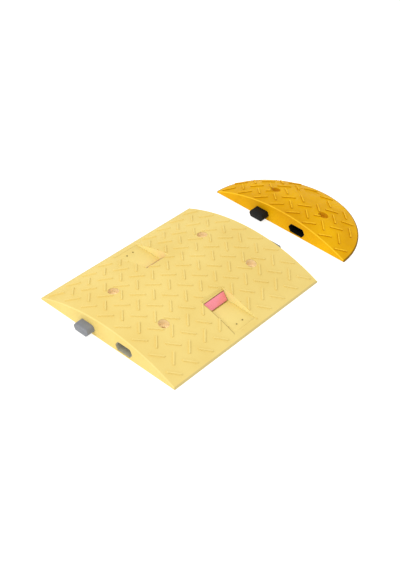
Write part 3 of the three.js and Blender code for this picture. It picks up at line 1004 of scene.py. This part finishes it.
def cap_blank():
    """Half of the camber spun about the upright axis, closed by the face."""
    profile = [(0.0, 0.0), (HALF_WIDTH, 0.0)]
    for step in range(DOME_RINGS + 1):
        distance = HALF_WIDTH * (1 - step / DOME_RINGS)
        profile.append((distance, camber_at(distance)))
    clear_selection()
    bpy.ops.mesh.primitive_circle_add(vertices=len(profile), fill_type="NOTHING")
    cap = bpy.context.object
    cap.name = "cap_rubber"
    for corner, (distance, height) in zip(cap.data.vertices, profile):
        corner.co = (0, -distance, height)
    choose(cap)
    bpy.ops.object.mode_set(mode="EDIT")
    bpy.ops.mesh.select_all(action="SELECT")
    bpy.ops.mesh.spin(steps=DOME_SIDES, angle=2 * math.pi, center=(0, 0, 0), axis=(0, 0, 1))
    bpy.ops.mesh.select_all(action="SELECT")
    bpy.ops.mesh.remove_doubles(threshold=0.01 * MM)
    bpy.ops.mesh.delete_loose()
    bpy.ops.mesh.select_all(action="SELECT")
    bpy.ops.mesh.normals_make_consistent(inside=False)
    done(cap)
    bisected(cap, (0, 0, 0), (-1, 0, 0))
    at_lip = lambda place: math.hypot(place.x, place.y) > HALF_WIDTH - HAIR
    at_foot = lambda a, b: max(a.z, b.z) < HAIR and (at_lip(a) and at_lip(b) or max(a.x, b.x) < HAIR)
    round_edges(cap, lambda a, b: at_lip(a) and at_lip(b) and a.z * b.z > 0 or at_foot(a, b), ROUND_EDGE, 3)
    at_face = lambda place: abs(place.x) < HAIR and place.z > EDGE_HEIGHT - ROUND_EDGE
    round_edges(cap, lambda a, b: at_face(a) and at_face(b), FACE_EDGE, 1)
    cap.location = (CAP_FACE, 0, 0)
    return settle(cap)


def pad_cutter(cap):
    """The space between the cap's slope and the same slope let down, over an oval."""
    let_down = lowered(cap, "let_down", PAD_DEPTH)
    oval = post("pad_cutter", 0, 0, 1, 5 * MM, CREST_HEIGHT + 5 * MM, 72)
    oval.scale = (PAD_HALF_X, PAD_HALF_Y, 1)
    oval.location = (CAP_FACE + PAD_FROM_FACE, 0, 0)
    settle(oval)
    return combine(oval, [let_down], "DIFFERENCE")


def cap_piece(master_bar):
    cap = cap_blank()
    pad = pad_cutter(cap)
    holes = [hole_cutter(f"cap_{side}", CAP_FACE) for side in ("right", "left")]
    tread = combine(cap_tread(master_bar), [copy_of(tool, "tread_hole") for tool in holes], "DIFFERENCE")
    ends = slot_cutters(CAP_FACE, LANE) + [socket_cutter(CAP_FACE, -LANE)]
    combine(cap, [pad] + holes + ends, "DIFFERENCE")
    combine(cap, [tread], "UNION")
    return smooth(cap)


# ---- assembly ---------------------------------------------------------------------------------------------


def fit(piece, node, body, material):
    """Gives a finished piece its material, its body and the CAD node that it stands for."""
    piece.name = node + "_finished"
    piece.data.materials.clear()
    piece.data.materials.append(material)
    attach(piece, body)
    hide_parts(node)
    return piece


def build_module(master_bar):
    fit(module_piece(master_bar), "module_body", "module", PALE_YELLOW)
    near_tongue = tongue_piece("near_tongue", -HALF_LENGTH, LANE, MODULE_KEY_REACH)
    near_liner = liner_piece("near_liner", -HALF_LENGTH, -LANE)
    far_tongue = half_turned(near_tongue, "far_tongue")
    far_liner = half_turned(near_liner, "far_liner")
    for piece, node, material in (
        (near_tongue, "module_near_tongue", GREY),
        (far_tongue, "module_far_tongue", GREY),
        (near_liner, "module_near_socket_liner", GREY_LINER),
        (far_liner, "module_far_socket_liner", GREY_LINER),
    ):
        fit(piece, node, "module", material)


def build_reflectors():
    parts = [
        (carrier_piece("carrier"), "reflector_carrier", "pale_yellow_rubber", PALE_YELLOW),
        (backing_piece("backing"), "reflector_backing", "black_plastic", BACKING),
        (lens_piece("lens"), "reflector_lens", "red_reflector", RED),
        (screw_piece("screw_one", "right_carrier_screw_1"), "carrier_screw_1", "screw_steel", SCREW),
        (screw_piece("screw_two", "right_carrier_screw_2"), "carrier_screw_2", "screw_steel", SCREW),
    ]
    for piece, node, slot, material in parts:
        twin = half_turned(piece, node)
        fit(piece, "right_" + node, "module", material)
        fit(twin, "left_" + node, "module", material)


def build_cap(master_bar):
    fit(cap_piece(master_bar), "cap_body", "end_cap", DEEP_YELLOW)
    cap_key = tongue_piece("cap_key", CAP_FACE, LANE, CAP_KEY_REACH)
    cap_sleeve = liner_piece("cap_sleeve", CAP_FACE, -LANE)
    fit(cap_key, "cap_tongue", "end_cap", BLACK)
    fit(cap_sleeve, "cap_socket_liner", "end_cap", BLACK)


# ---- floor, light and camera ------------------------------------------------------------------------------

FLOOR_SIZE = 30
FLOOR_DROP = 0.2 * MM  # keeps the floor off the undersides
FLOOR_GLOW = 0.78
SKY_STRENGTH = 0.97
KEY_LIGHT = (-1.8, 0.35, 2.4)
KEY_AIM = (0.1, 0, 0)
KEY_SIZE = 2.0
KEY_WATTS = 37

CAMERA_AZIMUTH = math.radians(217.254)
CAMERA_ELEVATION = math.radians(39.435)
CAMERA_ROLL = math.radians(5.647)
CAMERA_DISTANCE = 2.4578
CAMERA_TARGET = Vector((0.294 - HALF_LENGTH, -0.01425, 0))
SENSOR_WIDTH = 36  # millimetres, as the focal length
FOCAL_LENGTH = 67.5474


def floor():
    clear_selection()
    bpy.ops.mesh.primitive_plane_add(size=FLOOR_SIZE, location=(0, 0, -FLOOR_DROP))
    plane = bpy.context.object
    plane.name = "studio_floor"
    white = bpy.data.materials.new("studio_white")
    white.use_nodes = True
    shader = white.node_tree.nodes["Principled BSDF"]
    shader.inputs["Base Color"].default_value = (0.5, 0.5, 0.5, 1)
    shader.inputs["Roughness"].default_value = 0.9
    shader.inputs["Emission Color"].default_value = (1, 1, 1, 1)
    shader.inputs["Emission Strength"].default_value = FLOOR_GLOW
    plane.data.materials.append(white)


def soft_light(name, place, aim, size, watts):
    lamp = bpy.data.lights.new(name, "AREA")
    lamp.size = size
    lamp.energy = watts
    holder = bpy.data.objects.new(name, lamp)
    bpy.context.scene.collection.objects.link(holder)
    holder.location = place
    holder.rotation_euler = (Vector(aim) - Vector(place)).to_track_quat("-Z", "Y").to_euler()


def lights():
    world = bpy.data.worlds.new("studio")
    world.use_nodes = True
    sky = world.node_tree.nodes["Background"]
    sky.inputs["Color"].default_value = (1, 1, 1, 1)
    sky.inputs["Strength"].default_value = SKY_STRENGTH
    bpy.context.scene.world = world
    soft_light("key", KEY_LIGHT, KEY_AIM, KEY_SIZE, KEY_WATTS)


def camera():
    """The view of the whole object from above its near corner."""
    flat = math.cos(CAMERA_ELEVATION)
    back = Vector(
        (flat * math.cos(CAMERA_AZIMUTH), flat * math.sin(CAMERA_AZIMUTH), math.sin(CAMERA_ELEVATION))
    )
    right = (-back).cross(Vector((0, 0, 1))).normalized()
    up = right.cross(-back).normalized()
    rolled_right = math.cos(CAMERA_ROLL) * right + math.sin(CAMERA_ROLL) * up
    rolled_up = -math.sin(CAMERA_ROLL) * right + math.cos(CAMERA_ROLL) * up
    turn = Matrix((rolled_right, rolled_up, back)).transposed().to_4x4()
    lens = bpy.data.cameras.new("camera")
    lens.sensor_width = SENSOR_WIDTH
    lens.lens = FOCAL_LENGTH
    holder = bpy.data.objects.new("camera", lens)
    bpy.context.scene.collection.objects.link(holder)
    holder.matrix_world = Matrix.Translation(CAMERA_TARGET + back * CAMERA_DISTANCE) @ turn
    bpy.context.scene.camera = holder


camera()
lights()
floor()
bar = tread_bar()
build_module(bar)
build_reflectors()
build_cap(bar)
bpy.data.objects.remove(bar)

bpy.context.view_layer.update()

bpy.context.scene.view_settings.view_transform = "Standard"
